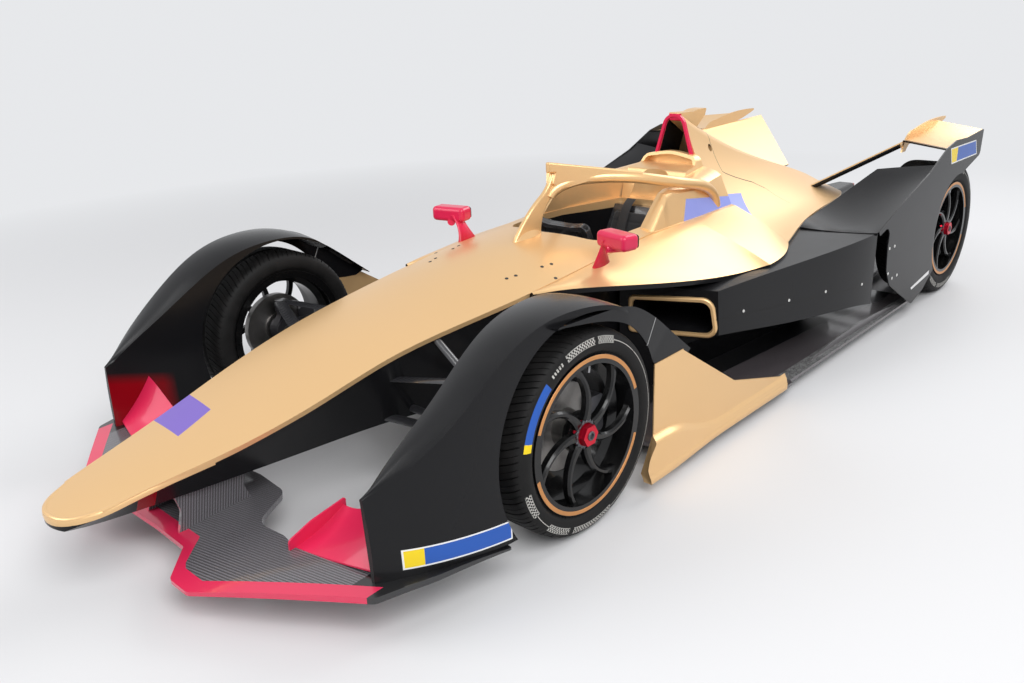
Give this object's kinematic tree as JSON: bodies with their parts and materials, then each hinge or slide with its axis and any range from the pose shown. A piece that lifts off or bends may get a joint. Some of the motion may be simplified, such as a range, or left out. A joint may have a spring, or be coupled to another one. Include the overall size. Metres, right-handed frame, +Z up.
{
  "type": "open wheel racing car",
  "caption": "Single seat electric racing car with covered front wheels, a halo over a hollow cockpit, steered front wheels and turning wheels.",
  "frame": {"origin": "centre of the car's outline in plan, on the ground under the tyres", "axes": "+X forward, +Y to the driver's left, +Z up"},
  "size_m": [5.16, 1.7708, 1.043],
  "materials": {
    "gold_paint": "satin gold paint",
    "black_paint": "satin black paint",
    "carbon": "glossy carbon weave",
    "red_paint": "satin pink red paint",
    "tyre_rubber": "matte",
    "rim_black": "gloss black",
    "steel": "machined",
    "nut_red": "red anodised",
    "seat_black": "matte",
    "light_red": "glossy",
    "dark_metal": "dark anodised"
  },
  "bodies": {
    "chassis": {"battery_pack": "dark_metal", "cockpit_deck": "gold_paint", "diffuser": "carbon", "drive_unit": "dark_metal", "engine_cover": "gold_paint", "fender_left": "black_paint", "fender_right": "black_paint", "floor": "carbon", "front_suspension": "carbon", "front_wing": "carbon", "front_wing_flaps": "red_paint", "halo": "gold_paint", "head_surround": "gold_paint", "mirrors": "red_paint", "monocoque": "gold_paint", "nose_cone": "gold_paint", "rain_light": "light_red", "rear_guard_left": "black_paint", "rear_guard_right": "black_paint", "rear_suspension": "carbon", "rear_uprights": "dark_metal", "rear_wings": "gold_paint", "roll_hoop": "red_paint", "seat": "seat_black", "side_plates": "gold_paint", "sidepod_left": "black_paint", "sidepod_right": "black_paint", "steering_column": "dark_metal"},
    "knuckle_left": {"knuckle_left": "dark_metal"},
    "knuckle_right": {"knuckle_right": "dark_metal"},
    "steering_rack": {"steering_rack": "dark_metal"},
    "steering_wheel": {"steering_wheel": "carbon"},
    "wheel_front_left": {"tyre_front_left": "tyre_rubber", "rim_front_left": "rim_black", "hub_front_left": "steel", "nut_front_left": "nut_red"},
    "wheel_front_right": {"tyre_front_right": "tyre_rubber", "rim_front_right": "rim_black", "hub_front_right": "steel", "nut_front_right": "nut_red"},
    "wheel_rear_left": {"tyre_rear_left": "tyre_rubber", "rim_rear_left": "rim_black", "hub_rear_left": "steel", "nut_rear_left": "nut_red"},
    "wheel_rear_right": {"tyre_rear_right": "tyre_rubber", "rim_rear_right": "rim_black", "hub_rear_right": "steel", "nut_rear_right": "nut_red"}
  },
  "joints": [
    {"name": "steer_left", "type": "hinge", "parent": "chassis", "child": "knuckle_left", "pos_m": [1.363, 0.712, 0.322], "axis": [0, 0, 1], "range_deg": [-16, 16]},
    {"name": "steer_right", "type": "hinge", "parent": "chassis", "child": "knuckle_right", "pos_m": [1.363, -0.712, 0.322], "axis": [0, 0, 1], "range_deg": [-16, 16]},
    {"name": "rack_slide", "type": "slide", "parent": "chassis", "child": "steering_rack", "axis": [0, 1, 0], "range_m": [-0.034, 0.034]},
    {"name": "steering_wheel_turn", "type": "hinge", "parent": "chassis", "child": "steering_wheel", "pos_m": [0.415, 0, 0.628], "axis": [-0.9272, 0, 0.3746], "range_deg": [-114, 114]},
    {"name": "wheel_front_left_spin", "type": "hinge", "parent": "knuckle_left", "child": "wheel_front_left", "pos_m": [1.363, 0.77, 0.322], "axis": [0, 1, 0], "continuous": true},
    {"name": "wheel_front_right_spin", "type": "hinge", "parent": "knuckle_right", "child": "wheel_front_right", "pos_m": [1.363, -0.77, 0.322], "axis": [0, 1, 0], "continuous": true},
    {"name": "wheel_rear_left_spin", "type": "hinge", "parent": "chassis", "child": "wheel_rear_left", "pos_m": [-1.737, 0.75, 0.345], "axis": [0, 1, 0], "continuous": true},
    {"name": "wheel_rear_right_spin", "type": "hinge", "parent": "chassis", "child": "wheel_rear_right", "pos_m": [-1.737, -0.75, 0.345], "axis": [0, 1, 0], "continuous": true}
  ],
  "couplings": [
    {"joint": "steer_right", "follows": "steer_left", "ratio": 1},
    {"joint": "rack_slide", "follows": "steer_left", "m_per_rad": 0.1155},
    {"joint": "steering_wheel_turn", "follows": "steer_left", "ratio": 7}
  ]
}
